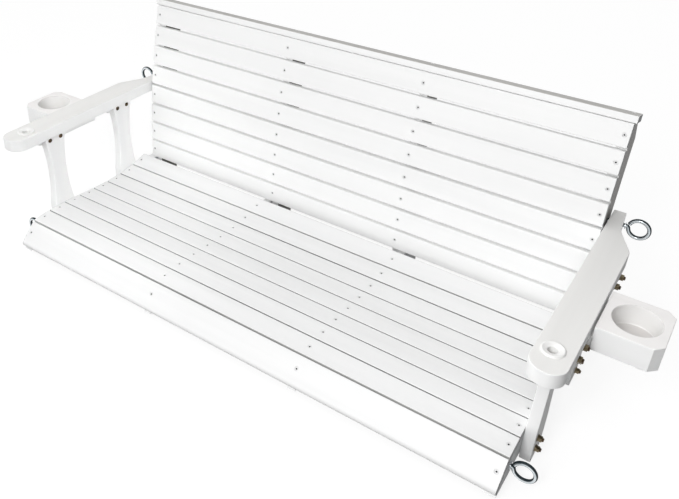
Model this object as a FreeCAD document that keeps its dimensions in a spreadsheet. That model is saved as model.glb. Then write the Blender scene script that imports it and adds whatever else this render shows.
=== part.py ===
import FreeCAD, Part
import math
import os
import Sketcher

# Seat of a hanging garden bench: slatted seat and back, two arms with cup holders, chain eyes.
# Millimetres. X runs along the bench, Y from front to back, Z up. The origin lies under the
# middle of the bench, level with the lower ends of the arm posts.

SIZES = {
    # seat
    "seat_length": 1219,           # along the bench
    "front_seam_setback": 249.1,   # from the origin forward to the seam behind the nose board
    "seat_height": 74,             # from the posts' lower ends up to that seam
    "slat_thickness": 16,
    "slat_round": 2,
    "seat_slat_pitch": 49.4,
    "seat_slat_gap": 2.6,
    "seat_swell": 4.4,             # height of the rise behind the front seam
    "seat_cross": 3.1,             # slats from the front seam to the end of that rise
    "seat_return": 6.88,           # slats from the front seam to the end of the dip behind it
    "nose_width": 67,
    "nose_angle": 45,
    "nose_gap": 1.8,
    "nose_round": 9,
    # seat rails
    "rail_depth": 62,              # from the front seam down to the underside
    "end_rail_width": 23,
    "inner_rail_width": 18,
    "inner_rail_place": 193,       # middle of an inner rail from the middle of the bench
    "rail_end_lead": 1.5,          # rear end ahead of the uprights' rear
    "rail_rear_fall": 6,           # bevel of the rear end
    # back
    "back_inset": 15.5,            # each end of the slats short of the end of the seat
    "back_gap": 16.3,              # from the rear seat slat to the foot of the lowest back slat
    "back_rise": 6.3,              # that foot above the front seam
    "back_slat_pitch": 54.2,
    "back_slat_width": 48.6,
    "lean_bottom": 2.5,
    "lean_top": 15.4,
    "upright_depth": 60,
    "upright_taper": 38,           # length of the taper under the cap
    "inner_upright_width": 18,
    "end_upright_width": 21,
    "foot_gap": 1,                 # above the end rail, over the notched foot
    "cap_end_overhang": 4.5,
    "cap_depth": 43,
    "cap_thickness": 15,
    "cap_gap": 1,
    "cap_front_overhang": 2,
    # arms
    "arm_gap": 0.6,                # from the ends of the back slats
    "arm_width": 67.7,
    "arm_neck_width": 36.2,
    "arm_tail_width": 29.2,
    "arm_top": 226.2,              # above the front seam
    "arm_thickness": 28.9,
    "arm_front": 23,               # front end before the front seam
    "arm_shoulder_lead": 37.5,     # ahead of the foot of the back
    "arm_neck_past": 25.5,         # behind the foot of the back
    "arm_tail_past": 100.5,
    "arm_front_round": 34,
    "arm_corner_round": 30,
    "arm_front_flat": 1,           # least straight part between these two rounds
    "arm_shoulder_round": 35,
    "arm_neck_round": 50,
    "arm_tail_round": 5,
    "arm_edge_round": 3,
    # posts and the blocks beside them
    "post_thickness": 21,
    "post_top_width": 65,
    "post_waist_width": 42.5,
    "post_seat_width": 60,
    "post_foot_width": 50,
    "post_flare_height": 6,        # lower end of the waist, above the front seam
    "post_taper_drop": 34,         # start of the foot's taper, below the front seam
    "front_post_setback": 102.5,
    "rear_post_lead": 81.8,        # ahead of the foot of the back
    "block_inset": 6.3,            # inside the outer edge of the arm
    "block_height": 26,
    "block_length": 66,
    # cup holders
    "cup_radius": 39.5,
    "cup_wall": 12.3,              # outside the well
    "cup_end_wall": 17,            # before and behind the well
    "cup_arm_gap": 13.2,           # from the edge of the arm to the well
    "cup_block_gap": 2,            # from the block of the front post
    "cup_lap": 31.5,               # part that lies under the arm
    "cup_lap_gap": 0.5,
    "cup_height": 48.1,
    "cup_floor": 8.1,
    "cup_drop": 7.4,               # top of the holder below the top of the arm
    "cup_corner": 14.1,
    # chain bushings
    "bushing_inset": 31.4,         # from the inner edge of the arm
    "bushing_setback": 35.2,
    "bushing_flange_radius": 19.4,
    "bushing_barrel_radius": 12,
    "bushing_bore_radius": 8,
    "bushing_flange_height": 3.2,
    "bushing_edge_height": 1.9,
    "bushing_bevel": 1.6,
    "bushing_rim": 2,
    "bushing_dish": 2,
    "bushing_lip": 1.5,
    "bushing_lip_drop": 1.2,
    "bushing_tail": 2,             # barrel end below the underside of the arm
    # eye bolts
    "eye_radius": 23,
    "eye_wire_radius": 3.9,
    "eye_standoff": 0.5,           # from the washer to the ring
    "front_eye_setback": 20,
    "front_eye_drop": 38,
    "rear_eye_past": 66.5,         # behind the foot of the back
    "rear_eye_drop": 10.2,         # below the top of the arm
    # bolts
    "bolt_radius": 4,
    "bolt_head_radius": 7,
    "bolt_head_top_radius": 4.3,
    "bolt_head_height": 3.2,
    "nut_radius": 7.5,
    "nut_height": 6.5,
    "washer_radius": 7.8,
    "washer_thickness": 1.6,
    "bolt_end": 3,                 # thread standing out of the nut
    "post_bolt_spacing": 33,
    "post_bolt_drop": 11.5,        # below the underside of the arm
    "low_bolt_spacing": 26,        # pairs below the seat, one above the other
    "front_low_bolt_lead": 10.3,   # ahead of the seam behind the second slat
    "front_low_bolt_drop": 3.5,    # upper one below the front seam and a slat's thickness
    "rear_low_bolt_lead": 12.6,    # ahead of the seam behind the seventh slat
    "rear_low_bolt_drop": 12,
    "joint_bolt_past": 43.5,       # behind the foot of the back, one above the other
    "joint_bolt_drop": 20,
    "joint_bolt_spacing": 24,
    # screws
    "screw_radius": 2.2,
    "screw_head_radius": 4.2,
    "screw_head_height": 2.6,
    "screw_sink": 0.4,
    "screw_length": 38,
    "cap_screw_length": 32,
    "long_screw_length": 46,
    "nose_screw_place": 30,        # from the front seam down the nose board
    "block_screw_spacing": 50,
    "block_screw_inset": 10.6,     # from the outer face of the block
    "cup_screw_spacing": 70,
    "cup_screw_inset": 14,
    # play and reach of the cuts
    "hole_gap": 0.1,               # radial play of screws and bolts in the wood
    "cut_past": 10,                # how far a cutting shape runs past the wood
}

SEAT_SLATS = 8
BACK_SLATS = 8
SIDES = ((-1, "left"), (1, "right"))
NEAR = 0.01

doc = FreeCAD.newDocument("bench_seat")
dim = doc.addObject("Spreadsheet::Sheet", "dim")
nodes = []


# sheet of sizes

def write_size(row, name, text):
    cell = f"A{row}"
    dim.set(cell, text)
    dim.setAlias(cell, name)


def write_sizes():
    row = 1
    for name, size in SIZES.items():
        write_size(row, name, str(size))
        row += 1
    for name, text in derived_sizes().items():
        write_size(row, name, "=" + text)
        row += 1
    doc.recompute()


def derived_sizes():
    sizes = seat_line()
    sizes.update({
        "rail_under": "seat_height - rail_depth",
        "back_y": "seam_y + seat_slat_pitch * 8 + back_gap",
        "rail_rear_y": "back_y + slat_thickness + upright_depth - rail_end_lead",
        "end_rail_place": "(seat_length - end_rail_width) / 2",
        "rail_inner": "seat_length / 2 - end_rail_width",
        "post_face": "seat_length / 2",
        "block_face": "seat_length / 2 + post_thickness",
        "back_length": "seat_length - 2 * back_inset",
        "back_height": "back_slat_pitch * 7 + back_slat_width",
        "end_upright_place": "(back_length - end_upright_width) / 2",
        "end_upright_inner": "back_length / 2 - end_upright_width",
        "inner_upright_place": "inner_rail_place - (inner_rail_width + inner_upright_width) / 2",
        "cap_rear": "cap_depth - cap_front_overhang",
        "lean_rate": "(lean_top - lean_bottom) / back_height",
        "bend": "180 / pi / lean_rate",
        "bend_y": "back_y + bend * cos(lean_bottom)",
        "bend_z": "seat_height + back_rise - bend * sin(lean_bottom)",
        "arm_top_z": "seat_height + arm_top",
        "arm_under": "arm_top_z - arm_thickness",
        "arm_inner": "back_length / 2 + arm_gap",
        "arm_outer": "arm_inner + arm_width",
        "arm_tail_slope": "(arm_neck_width - arm_tail_width) / (arm_tail_past - arm_neck_past)",
        "arm_corner_fillet": "min(arm_corner_round; arm_width - arm_front_round - arm_front_flat)",
        "front_post_y": "seam_y + front_post_setback",
        "rear_post_y": "back_y - rear_post_lead",
        "front_low_bolt_y": "seam_y_2 - front_low_bolt_lead",
        "front_low_bolt_z": "seat_height - slat_thickness - front_low_bolt_drop",
        "rear_low_bolt_y": "seam_y_7 - rear_low_bolt_lead",
        "rear_low_bolt_z": "seat_height - slat_thickness - rear_low_bolt_drop",
        "block_outer": "arm_outer - block_inset",
        "block_depth": "block_outer - block_face",
        "cup_inner": "arm_outer - cup_lap",
        "cup_middle": "arm_outer + cup_arm_gap + cup_radius",
        "cup_outer": "cup_middle + cup_radius + cup_wall",
        "cup_length": "2 * (cup_radius + cup_end_wall)",
        "cup_y": "front_post_y + block_length / 2 + cup_block_gap + cup_length / 2",
        "cup_top": "arm_top_z - cup_drop",
        "eye_front_face": "post_face",
        "eye_front_grip": "end_rail_width",
        "eye_front_y": "seam_y + front_eye_setback",
        "eye_front_z": "seat_height - front_eye_drop",
        "eye_rear_y": "back_y + rear_eye_past",
        "eye_rear_z": "arm_top_z - rear_eye_drop",
        "eye_rear_face": ("arm_inner + arm_tail_width"
                          " + arm_tail_slope * (arm_tail_past - rear_eye_past + washer_radius)"),
        "eye_rear_grip": "eye_rear_face - end_upright_inner",
    })
    for k in range(BACK_SLATS):
        sizes[f"slat_lean_{k}"] = f"lean_bottom + lean_rate * (back_slat_pitch * {k} + back_slat_width / 2)"
    return sizes


def seat_line():
    """Seams between the seat slats on a cubic line, and the corners of their undersides."""
    sizes = {
        "seam_y": "-front_seam_setback",
        "cross_depth": "seat_cross * seat_slat_pitch",
        "return_depth": "seat_return * seat_slat_pitch",
        "swell_factor": "seat_swell / (cross_depth ^ 2 / 4 * (return_depth - cross_depth / 2))",
    }
    for k in range(SEAT_SLATS + 1):
        depth = f"(seat_slat_pitch * {k})"
        sizes[f"seam_y_{k}"] = f"seam_y + {depth}"
        sizes[f"seam_z_{k}"] = (f"seat_height + swell_factor * {depth} * ({depth} - cross_depth)"
                                f" * ({depth} - return_depth)")
    for k in range(SEAT_SLATS):
        sizes[f"slat_tilt_{k}"] = f"atan((seam_z_{k + 1} - seam_z_{k}) / seat_slat_pitch) / 1 deg"
    for k in range(SEAT_SLATS + 1):
        before = f"slat_tilt_{k - 1}" if k > 0 else "nose_angle"
        after = f"slat_tilt_{k}" if k < SEAT_SLATS else before
        middle = f"(({before} + {after}) / 2)"
        half = f"(({before} - {after}) / 2)"
        sizes[f"under_y_{k}"] = f"seam_y_{k} + slat_thickness * sin({middle}) / cos({half})"
        sizes[f"under_z_{k}"] = f"seam_z_{k} - slat_thickness * cos({middle}) / cos({half})"
    return sizes


def value(text):
    return float(dim.evalExpression(text))


# building blocks

def origin_plane(body, role):
    return [item for item in body.Origin.OriginFeatures if item.Role == role][0]


def bind(item, settings):
    for path, text in settings.items():
        item.setExpression(path, str(text))


def place(item, x="0", y="0", z="0", angle=None, axis=(1, 0, 0)):
    """Binds the place of an item, and its turn about an axis in degrees."""
    spin = FreeCAD.Rotation()
    if angle is not None:
        spin = FreeCAD.Rotation(FreeCAD.Vector(*axis), 1)
    item.Placement = FreeCAD.Placement(FreeCAD.Vector(), spin)
    bind(item, {"Placement.Base.x": x, "Placement.Base.y": y, "Placement.Base.z": z})
    if angle is not None:
        bind(item, {"Placement.Rotation.Angle": angle})


def arc_through(start, end, radius, side):
    """Short arc between two points; side 1 has its centre on the left of the way."""
    middle = (start + end) * 0.5
    way = end - start
    reach = math.sqrt(max(radius ** 2 - (way.Length / 2) ** 2, 0))
    centre = middle + FreeCAD.Vector(-way.y, way.x, 0) * (side * reach / way.Length)
    first = math.atan2(start.y - centre.y, start.x - centre.x)
    last = math.atan2(end.y - centre.y, end.x - centre.x)
    if side < 0:
        first, last = last, first
    circle = Part.Circle(centre, FreeCAD.Vector(0, 0, 1), radius)
    return Part.ArcOfCircle(circle, first, last)


def outline(body, name, role, corners, arcs=None):
    """Closed outline through corners given as pairs of size expressions.

    arcs maps the number of a side to its radius and the side its centre lies on."""
    arcs = arcs or {}
    sketch = body.newObject("Sketcher::SketchObject", name)
    sketch.AttachmentSupport = (origin_plane(body, role), "")
    sketch.MapMode = "FlatFace"
    points = [FreeCAD.Vector(value(u), value(v), 0) for u, v in corners]
    ends = []
    for i, point in enumerate(points):
        after = points[(i + 1) % len(points)]
        if i in arcs:
            radius, side = arcs[i]
            sketch.addGeometry(arc_through(point, after, value(radius), side))
            ends.append((1, 2) if side > 0 else (2, 1))
        else:
            sketch.addGeometry(Part.LineSegment(point, after))
            ends.append((1, 2))
    for i in range(len(points)):
        after = (i + 1) % len(points)
        sketch.addConstraint(Sketcher.Constraint("Coincident", i, ends[i][1], after, ends[after][0]))
    for i, (radius, side) in arcs.items():
        number = sketch.addConstraint(Sketcher.Constraint("Radius", i, value(radius)))
        sketch.setExpression(f"Constraints[{number}]", radius)
    for i, point in enumerate(points):
        for kind, length, text in (("DistanceX", point.x, corners[i][0]),
                                   ("DistanceY", point.y, corners[i][1])):
            number = sketch.addConstraint(Sketcher.Constraint(kind, -1, 1, i, ends[i][0], length))
            sketch.setExpression(f"Constraints[{number}]", text)
    return sketch


def board(name, role, corners, thickness, arcs=None):
    """Board of even thickness, its outline in a body plane and its thickness either side."""
    body = doc.addObject("PartDesign::Body", name)
    sketch = outline(body, name + "_outline", role, corners, arcs)
    pad = body.newObject("PartDesign::Pad", name + "_pad")
    pad.Profile = sketch
    pad.SideType = "Symmetric"
    bind(pad, {"Length": thickness})
    doc.recompute()
    return body


def round_edges(body, wanted, radius):
    """Rounds the edges of a body's last feature for which wanted(edge) holds."""
    last = body.Tip
    names = [f"Edge{i + 1}" for i, edge in enumerate(last.Shape.Edges) if wanted(edge)]
    fillet = body.newObject("PartDesign::Fillet", f"{body.Name}_round_{len(body.Group)}")
    fillet.Base = (last, names)
    bind(fillet, {"Radius": radius})
    body.Tip = fillet
    doc.recompute()


def runs_along(edge, axis):
    way = edge.Vertexes[-1].Point - edge.Vertexes[0].Point
    return way.Length > NEAR and way.cross(axis).Length < NEAR


def along_x(edge):
    return runs_along(edge, FreeCAD.Vector(1, 0, 0))


def cylinder(name, radius, height, **where):
    item = doc.addObject("Part::Cylinder", name)
    bind(item, {"Radius": radius, "Height": height})
    place(item, **where)
    return item


def cone(name, lower, upper, height, **where):
    item = doc.addObject("Part::Cone", name)
    bind(item, {"Radius1": lower, "Radius2": upper, "Height": height})
    place(item, **where)
    return item


def box(name, side, near, length, width, height, **where):
    """Box that reaches outward from a distance near the middle of the bench, on one side of it."""
    item = doc.addObject("Part::Box", name)
    bind(item, {"Length": length, "Width": width, "Height": height})
    place(item, x=f"{near}" if side > 0 else f"-({near}) - ({length})", **where)
    return item


def fuse(name, items):
    item = doc.addObject("Part::MultiFuse", name)
    item.Shapes = items
    return item


def cut(name, base, tool):
    item = doc.addObject("Part::Cut", name)
    item.Base = base
    item.Tool = tool
    return item


def copies(name, master, placements):
    """Separate copies of one shape, kept together as one group."""
    item = doc.addObject("Part::Feature", name)
    solids = []
    for placement in placements:
        shape = master.Shape.copy()
        shape.Placement = placement.multiply(shape.Placement)
        solids.append(shape)
    item.Shape = Part.makeCompound(solids)
    return item


def keep(item, label):
    item.Label = label
    nodes.append(item)


# seat

def slat_section(width):
    half = f"({width}) / 2"
    return [(f"-{half}", "-dim.slat_thickness"), (half, "-dim.slat_thickness"), (half, "0"),
            (f"-{half}", "0")]


def seat_slat(k):
    width = f"dim.seat_slat_pitch / cos(dim.slat_tilt_{k}) - dim.seat_slat_gap"
    body = board(f"seat_slat_{k + 1}_blank", "YZ_Plane", slat_section(width), "dim.seat_length")
    round_edges(body, along_x, "dim.slat_round")
    place(body, y=f"(dim.seam_y_{k} + dim.seam_y_{k + 1}) / 2",
          z=f"(dim.seam_z_{k} + dim.seam_z_{k + 1}) / 2", angle=f"dim.slat_tilt_{k}")
    return body


def nose_board():
    """Sloping board before the front seam, its outer edge rounded, mitred under the first slat."""
    body = board("nose_board_blank", "YZ_Plane",
                 [("-dim.nose_width", "-dim.slat_thickness"),
                  ("-dim.nose_gap - dim.slat_thickness * tan(dim.nose_angle - dim.slat_tilt_0)",
                   "-dim.slat_thickness"),
                  ("-dim.nose_gap", "0"), ("-dim.nose_width", "0")], "dim.seat_length")
    half_width, half_thickness = value("dim.nose_width / 2"), value("dim.slat_thickness / 2")

    def outer_edge(edge):
        middle = edge.CenterOfMass
        return along_x(edge) and middle.y < -half_width and middle.z > -half_thickness
    round_edges(body, outer_edge, "dim.nose_round")
    place(body, y="dim.seam_y", z="dim.seat_height", angle="dim.nose_angle")
    return body


def rail_corners():
    """Top in flats under the slats, front cut off under the nose board."""
    corners = [(f"dim.under_y_{k}", f"dim.under_z_{k}") for k in range(SEAT_SLATS + 1)]
    corners.append(("dim.rail_rear_y - dim.rail_rear_fall", f"dim.under_z_{SEAT_SLATS}"))
    corners.append(("dim.rail_rear_y", f"dim.under_z_{SEAT_SLATS} - dim.rail_rear_fall"))
    corners.append(("dim.rail_rear_y", "dim.rail_under"))
    corners.append(("dim.under_y_0 - (dim.under_z_0 - dim.rail_under) / tan(dim.nose_angle)",
                    "dim.rail_under"))
    return corners


def seat_rail(name, centre, width):
    body = board(name, "YZ_Plane", rail_corners(), width)
    place(body, x=centre)
    return body


# back

def bend_point(angle, inset):
    """Point of the back's bend at a lean angle, set back from the front face."""
    return (f"dim.bend_y - (dim.bend - ({inset})) * cos({angle})",
            f"dim.bend_z + (dim.bend - ({inset})) * sin({angle})")


def under_cap(inset):
    y, z = bend_point("dim.lean_top", inset)
    return f"{y} + dim.cap_gap * sin(dim.lean_top)", f"{z} + dim.cap_gap * cos(dim.lean_top)"


def back_slat(k):
    body = board(f"back_slat_{BACK_SLATS - k}_blank", "YZ_Plane", slat_section("dim.back_slat_width"),
                 "dim.back_length")
    round_edges(body, along_x, "dim.slat_round")
    y, z = bend_point(f"dim.slat_lean_{k}", "0")
    place(body, y=y, z=z, angle=f"90 - dim.slat_lean_{k}")
    return body


def back_cap():
    body = board("back_cap_blank", "YZ_Plane",
                 [("-dim.cap_front_overhang", "0"), ("dim.cap_rear", "0"),
                  ("dim.cap_rear", "dim.cap_thickness"), ("-dim.cap_front_overhang", "dim.cap_thickness")],
                 "dim.back_length + 2 * dim.cap_end_overhang")
    round_edges(body, along_x, "dim.slat_round")
    y, z = under_cap("0")
    place(body, y=y, z=z, angle="-dim.lean_top")
    return body


def upright_corners():
    """Front in flats behind the slats, rear in one even bend, top tapered, foot level with the rails."""
    front, rear = "dim.slat_thickness", "(dim.slat_thickness + dim.upright_depth)"
    step = "(dim.back_slat_pitch * dim.lean_rate / 2)"
    flat = f"dim.bend - (dim.bend - {front}) / cos({step})"
    corners = [bend_point(f"(dim.slat_lean_{k} - {step})", flat) for k in range(1, BACK_SLATS)]
    corners += [under_cap(front), under_cap("dim.cap_rear")]
    corners.append(bend_point("(dim.lean_top - dim.lean_rate * dim.upright_taper)", rear))
    corners.append((f"dim.bend_y - sqrt((dim.bend - {rear}) ^ 2 - (dim.bend_z - dim.rail_under) ^ 2)",
                    "dim.rail_under"))
    y, z = bend_point("dim.slat_lean_0", front)
    corners.append((f"{y} - ({z} - dim.rail_under) * tan(dim.slat_lean_0)", "dim.rail_under"))
    return corners


def upright(name, centre, width):
    corners = upright_corners()
    rear_side = len(corners) - 3
    body = board(name, "YZ_Plane", corners, width,
                 {rear_side: ("dim.bend - dim.slat_thickness - dim.upright_depth", 1)})
    place(body, x=centre)
    return body


# arms

def arm(name, side):
    inner, outer = f"{side} * dim.arm_inner", f"{side} * dim.arm_outer"
    neck = f"{side} * (dim.arm_inner + dim.arm_neck_width)"
    tail = f"{side} * (dim.arm_inner + dim.arm_tail_width)"
    front, rear = "dim.seam_y - dim.arm_front", "dim.back_y + dim.arm_tail_past"
    shoulder_y, neck_y = "dim.back_y - dim.arm_shoulder_lead", "dim.back_y + dim.arm_neck_past"
    body = board(name, "XY_Plane", [(inner, front), (outer, front), (outer, shoulder_y), (neck, neck_y),
                                    (tail, rear), (inner, rear)], "dim.arm_thickness")
    rounds = (("dim.arm_front_round", inner, front), ("dim.arm_corner_fillet", outer, front),
              ("dim.arm_shoulder_round", outer, shoulder_y), ("dim.arm_neck_round", neck, neck_y),
              ("dim.arm_tail_round", tail, rear))
    for radius, x, y in rounds:
        corner = FreeCAD.Vector(value(x), value(y), 0)

        def at_corner(edge):
            upright = runs_along(edge, FreeCAD.Vector(0, 0, 1))
            return upright and (edge.CenterOfMass - corner).Length < NEAR
        round_edges(body, at_corner, radius)
    half = value("dim.arm_thickness / 2")
    round_edges(body, lambda edge: abs(abs(edge.CenterOfMass.z) - half) < NEAR, "dim.arm_edge_round")
    place(body, z="dim.arm_under + dim.arm_thickness / 2")
    return body


def post(name, side, middle):
    """Board with a waist above the seat and a tapered foot below it."""
    top, flare = "dim.arm_under", "(dim.seat_height + dim.post_flare_height)"
    taper, foot = "dim.seat_height - dim.post_taper_drop", "0"
    wide, seat, narrow = "dim.post_top_width / 2", "dim.post_seat_width / 2", "dim.post_foot_width / 2"
    chord = f"sqrt(({top} - {flare}) ^ 2 + ({wide} - {seat}) ^ 2)"
    hollow = "((dim.post_top_width + dim.post_seat_width) / 4 - dim.post_waist_width / 2)"
    radius = f"({chord} ^ 2 / 4 + {hollow} ^ 2) / (2 * {hollow})"
    body = board(name, "YZ_Plane",
                 [(f"-{narrow}", foot), (narrow, foot), (seat, taper), (seat, flare), (wide, top),
                  (f"-{wide}", top), (f"-{seat}", flare), (f"-{seat}", taper)],
                 "dim.post_thickness", {3: (radius, -1), 5: (radius, -1)})
    place(body, x=f"{side} * (dim.post_face + dim.post_thickness / 2)", y=middle)
    return body


def post_block(name, side, middle):
    return box(name, side, "dim.block_face", "dim.block_depth", "dim.block_length", "dim.block_height",
               y=f"{middle} - dim.block_length / 2", z="dim.arm_under - dim.block_height")


def cup_holder(name, side):
    """Block with bevelled corners and a round well, cut away where it laps under the arm."""
    inner, outer = f"{side} * dim.cup_inner", f"{side} * dim.cup_outer"
    inner_cut = f"{side} * (dim.cup_inner + dim.cup_corner)"
    outer_cut = f"{side} * (dim.cup_outer - dim.cup_corner)"
    front, rear = "-dim.cup_length / 2", "dim.cup_length / 2"
    front_cut, rear_cut = f"{front} + dim.cup_corner", f"{rear} - dim.cup_corner"
    block = board(name + "_block", "XY_Plane",
                  [(inner_cut, front), (outer_cut, front), (outer, front_cut), (outer, rear_cut),
                   (outer_cut, rear), (inner_cut, rear), (inner, rear_cut), (inner, front_cut)],
                  "dim.cup_height")
    place(block, y="dim.cup_y", z="dim.cup_top - dim.cup_height / 2")
    well = cylinder(name + "_well", "dim.cup_radius", "dim.cup_height", x=f"{side} * dim.cup_middle",
                    y="dim.cup_y", z="dim.cup_top - dim.cup_height + dim.cup_floor")
    lap = box(name + "_lap", side, "dim.cup_inner - dim.cut_past",
              "dim.cup_lap + dim.cup_lap_gap + dim.cut_past", "dim.cup_length + 2 * dim.cut_past",
              "dim.arm_thickness", y="dim.cup_y - dim.cup_length / 2 - dim.cut_past", z="dim.arm_under")
    return cut(name + "_hollowed", cut(name + "_lapped", block, lap), well)


def bushing(name, side):
    """Flanged bushing with a dished rim and a through bore."""
    body = doc.addObject("PartDesign::Body", name)
    bore, barrel = "dim.bushing_bore_radius", "dim.bushing_barrel_radius - dim.hole_gap"
    flange, rise = "dim.bushing_flange_radius", "dim.bushing_flange_height"
    rim, dish = f"{flange} - dim.bushing_bevel", f"{rise} - dim.bushing_dish"
    low = "-dim.arm_thickness - dim.bushing_tail"
    sketch = outline(body, name + "_section", "XZ_Plane",
                     [(bore, low), (barrel, low), (barrel, "0"), (flange, "0"),
                      (flange, "dim.bushing_edge_height"), (rim, rise), (f"{rim} - dim.bushing_rim", rise),
                      (f"{bore} + dim.bushing_lip", dish), (bore, f"{dish} - dim.bushing_lip_drop")])
    turn = body.newObject("PartDesign::Revolution", name + "_turn")
    turn.Profile = sketch
    turn.ReferenceAxis = (sketch, ["V_Axis"])
    turn.Angle = 360
    doc.recompute()
    place(body, x=f"{side} * (dim.arm_inner + dim.bushing_inset)", y="dim.seam_y + dim.bushing_setback",
          z="dim.arm_top_z")
    return body


# fasteners, each made once and then copied to its places

def nut_and_washer():
    """A nut and a washer that stand on the origin."""
    hexagon = doc.addObject("Part::Prism", "nut_blank")
    hexagon.Polygon = 6
    bind(hexagon, {"Circumradius": "dim.nut_radius", "Height": "dim.nut_height"})
    disc = cylinder("washer_blank", "dim.washer_radius", "dim.washer_thickness")
    hole = cylinder("nut_hole", "dim.bolt_radius + dim.hole_gap", "dim.nut_height + 2 * dim.cut_past",
                    z="-dim.cut_past")
    return cut("nut_form", hexagon, hole), cut("washer_form", disc, hole)


def bolt_and_hole(name, grip):
    """Bolt that points down, its head on the origin, and the hole that it needs."""
    length = f"({grip} + dim.washer_thickness + dim.nut_height + dim.bolt_end)"
    shank = cylinder(name + "_shank", "dim.bolt_radius", length, z=f"-{length}")
    head = cone(name + "_head", "dim.bolt_head_radius", "dim.bolt_head_top_radius", "dim.bolt_head_height")
    hole = cylinder(name + "_hole", "dim.bolt_radius + dim.hole_gap", f"{grip} + 2 * dim.cut_past",
                    z=f"-({grip}) - dim.cut_past")
    return fuse(name, [head, shank]), hole


def screw_and_hole(name, length):
    """Countersunk screw that points down, its head a little below the surface, and its hole."""
    forms = []
    for part, play in (("screw", "0"), ("hole", "dim.hole_gap")):
        head = cone(f"{name}_{part}_head", f"dim.screw_radius + {play}", f"dim.screw_head_radius + {play}",
                    "dim.screw_head_height", z="-dim.screw_sink - dim.screw_head_height")
        shank = cylinder(f"{name}_{part}_shank", f"dim.screw_radius + {play}",
                         f"{length} - dim.screw_head_height + {play}", z=f"-dim.screw_sink - {length} - {play}")
        forms.append([head, shank])
    forms[1].append(cylinder(name + "_mouth", "dim.screw_head_radius + dim.hole_gap",
                             "dim.screw_sink + dim.cut_past", z="-dim.screw_sink"))
    return fuse(name, forms[0]), fuse(name + "_drill", forms[1])


def eye_bolt(name, side, face, grip, y, z):
    """Ring in an upright plane along the bench, its shank through the wood to a nut inside."""
    ring_radius = "(dim.eye_radius - dim.eye_wire_radius)"
    middle = f"({face} + dim.washer_thickness + dim.eye_standoff + dim.eye_radius)"
    length = (f"({grip} + 2 * dim.washer_thickness + dim.eye_standoff + 2 * dim.eye_wire_radius"
              " + dim.nut_height + dim.bolt_end)")
    ring = doc.addObject("Part::Torus", name + "_ring")
    bind(ring, {"Radius1": ring_radius, "Radius2": "dim.eye_wire_radius"})
    place(ring, x=f"{side} * {middle}", y=y, z=z, angle="90")
    shank = cylinder(name + "_shank", "dim.bolt_radius", length, x=f"{side} * ({middle} - {ring_radius})",
                     y=y, z=z, angle=f"{-90 * side}", axis=(0, 1, 0))
    hole = cylinder(name + "_hole", "dim.bolt_radius + dim.hole_gap", f"{grip} + 2 * dim.cut_past",
                    x=f"{side} * ({face} + dim.cut_past)", y=y, z=z, angle=f"{-90 * side}", axis=(0, 1, 0))
    return fuse(name, [ring, shank]), hole


# places of the fasteners

def turned(x, y, z, axis, angle):
    return FreeCAD.Placement(FreeCAD.Vector(x, y, z), FreeCAD.Rotation(FreeCAD.Vector(*axis), angle))


def inward(side, x, y, z):
    """Placement whose up direction points to the middle of the bench."""
    return turned(side * x, y, z, (0, 1, 0), -90 * side)


def outward(side, x, y, z):
    return turned(side * x, y, z, (0, 1, 0), 90 * side)


def upward(side, x, y, z):
    """Placement for a screw driven up from below."""
    return turned(side * x, y, z, (1, 0, 0), 180)


def pair(middle, spacing):
    return [middle - spacing / 2, middle + spacing / 2]


def both_sides(names):
    return [side * value("dim." + name) for name in names for side, word in SIDES]


def shifted(base, places, y=0.0):
    return [base.multiply(FreeCAD.Placement(FreeCAD.Vector(x, y, 0), FreeCAD.Rotation())) for x in places]


# assembly

def build_seat_and_back():
    """Slats, nose board and cap with their screws; returns the screw holes for rails and uprights."""
    screw, screw_drill = screw_and_hole("slat_screw", "dim.screw_length")
    cap_screw, cap_drill = screw_and_hole("cap_screw", "dim.cap_screw_length")
    seat_blanks = [nose_board()] + [seat_slat(k) for k in range(SEAT_SLATS)]
    back_blanks = [back_slat(k) for k in range(BACK_SLATS)]
    cap = back_cap()
    doc.recompute()

    rails = both_sides(("end_rail_place", "inner_rail_place"))
    uprights = both_sides(("end_upright_place", "inner_upright_place"))
    seat_spots = shifted(seat_blanks[0].Placement, rails, -value("dim.nose_screw_place"))
    for blank in seat_blanks[1:]:
        seat_spots += shifted(blank.Placement, rails)
    back_spots = []
    for blank in back_blanks:
        back_spots += shifted(blank.Placement, uprights)
    lift = FreeCAD.Placement(FreeCAD.Vector(0, 0, value("dim.cap_thickness")), FreeCAD.Rotation())
    cap_middle = value("(dim.slat_thickness + dim.cap_rear) / 2")
    cap_spots = shifted(cap.Placement.multiply(lift), uprights, cap_middle)

    seat_holes = copies("seat_screw_holes", screw_drill, seat_spots)
    back_holes = copies("back_screw_holes", screw_drill, back_spots)
    cap_holes = copies("cap_screw_holes", cap_drill, cap_spots)
    keep(copies("seat_screw_group", screw, seat_spots), "seat_screws")
    keep(copies("back_screw_group", screw, back_spots), "back_screws")
    keep(copies("cap_screw_group", cap_screw, cap_spots), "cap_screws")

    labels = ["nose_board"] + [f"seat_slat_{k + 1}" for k in range(SEAT_SLATS)]
    for blank, label in zip(seat_blanks, labels):
        keep(cut(label + "_drilled", blank, seat_holes), label)
    for k, blank in enumerate(back_blanks):
        keep(cut(f"back_slat_{BACK_SLATS - k}_drilled", blank, back_holes), f"back_slat_{BACK_SLATS - k}")
    keep(cut("back_cap_drilled", cap, cap_holes), "back_cap_rail")
    return [seat_holes], [back_holes, cap_holes]


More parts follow.
